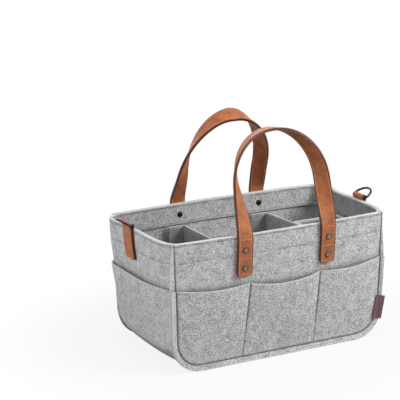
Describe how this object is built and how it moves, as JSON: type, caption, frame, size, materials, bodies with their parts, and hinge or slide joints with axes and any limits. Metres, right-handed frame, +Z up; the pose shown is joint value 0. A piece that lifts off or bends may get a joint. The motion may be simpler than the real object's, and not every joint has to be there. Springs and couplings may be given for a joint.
{
  "type": "nursery organizer basket",
  "caption": "Open felt caddy with lift-out dividers, outside pockets, two folding leather carry handles riveted to the long walls and a D-ring at each end.",
  "frame": {"origin": "middle of the base on the ground", "axes": "+X along the length to the right, +Y to the back, +Z up"},
  "size_m": [0.4244, 0.2276, 0.3476],
  "materials": {
    "felt": "pressed wool felt, mottled",
    "divider_felt": "pressed wool felt, mottled",
    "leather": "smooth tan leather, satin",
    "black_metal": "black, glossy",
    "nickel": "aged nickel, polished",
    "hook_tape": "grey hook and loop tape",
    "tag": "brown woven tape, matt"
  },
  "bodies": {
    "root": {"front_panel": "felt", "back_panel": "felt", "side_and_base_strip": "felt", "rim_facing": "felt", "front_pocket_panel": "felt", "back_pocket_panel": "felt", "left_pocket_panel": "felt", "right_pocket_panel": "felt", "front_handle_leg_left": "leather", "front_handle_leg_right": "leather", "back_handle_leg_left": "leather", "back_handle_leg_right": "leather", "front_rivet_left_upper": "nickel", "front_rivet_left_lower": "nickel", "front_rivet_right_upper": "nickel", "front_rivet_right_lower": "nickel", "back_rivet_left_upper": "nickel", "back_rivet_left_lower": "nickel", "back_rivet_right_upper": "nickel", "back_rivet_right_lower": "nickel", "front_rivet_left_upper_inner_cap": "black_metal", "front_rivet_left_lower_inner_cap": "black_metal", "front_rivet_right_upper_inner_cap": "black_metal", "front_rivet_right_lower_inner_cap": "black_metal", "back_rivet_left_upper_inner_cap": "black_metal", "back_rivet_left_lower_inner_cap": "black_metal", "back_rivet_right_upper_inner_cap": "black_metal", "back_rivet_right_lower_inner_cap": "black_metal", "left_ring_tab": "leather", "right_ring_tab": "leather", "divider_left_back_wall_tape": "hook_tape", "divider_left_front_wall_tape": "hook_tape", "divider_right_back_wall_tape": "hook_tape", "divider_right_front_wall_tape": "hook_tape", "box_insert_left_wall_tape": "hook_tape", "box_insert_right_wall_tape": "hook_tape", "seam_tag": "tag"},
    "front_handle": {"front_handle_arch": "leather"},
    "back_handle": {"back_handle_arch": "leather"},
    "left_ring": {"left_d_ring": "black_metal"},
    "right_ring": {"right_d_ring": "black_metal"},
    "left_divider": {"divider_left": "divider_felt", "divider_left_back_flap_tape": "hook_tape", "divider_left_front_flap_tape": "hook_tape"},
    "right_divider": {"divider_right": "divider_felt", "divider_right_back_flap_tape": "hook_tape", "divider_right_front_flap_tape": "hook_tape"},
    "insert": {"box_insert": "divider_felt", "box_insert_left_flap_tape": "hook_tape", "box_insert_right_flap_tape": "hook_tape"}
  },
  "joints": [
    {"name": "front_handle_fold", "type": "hinge", "parent": "root", "child": "front_handle", "pos_m": [0.005, -0.10776, 0.199], "axis": [1, 0, 0], "range_deg": [-15, 98]},
    {"name": "back_handle_fold", "type": "hinge", "parent": "root", "child": "back_handle", "pos_m": [0.0065, 0.10779, 0.199], "axis": [-1, 0, 0], "range_deg": [-15, 98]},
    {"name": "left_ring_swing", "type": "hinge", "parent": "root", "child": "left_ring", "pos_m": [-0.1936, 0.0165, 0.20265], "axis": [0.0001, 1, 0], "range_deg": [-95, 50]},
    {"name": "right_ring_swing", "type": "hinge", "parent": "root", "child": "right_ring", "pos_m": [0.1936, -0.0165, 0.20265], "axis": [-0.0001, -1, 0], "range_deg": [-95, 50]},
    {"name": "left_divider_lift", "type": "slide", "parent": "root", "child": "left_divider", "axis": [0, 0, 1], "range_m": [0, 0.04]},
    {"name": "right_divider_lift", "type": "slide", "parent": "root", "child": "right_divider", "axis": [0, 0, 1], "range_m": [0, 0.04]},
    {"name": "insert_lift", "type": "slide", "parent": "root", "child": "insert", "axis": [0, 0, 1], "range_m": [0, 0.04]}
  ]
}
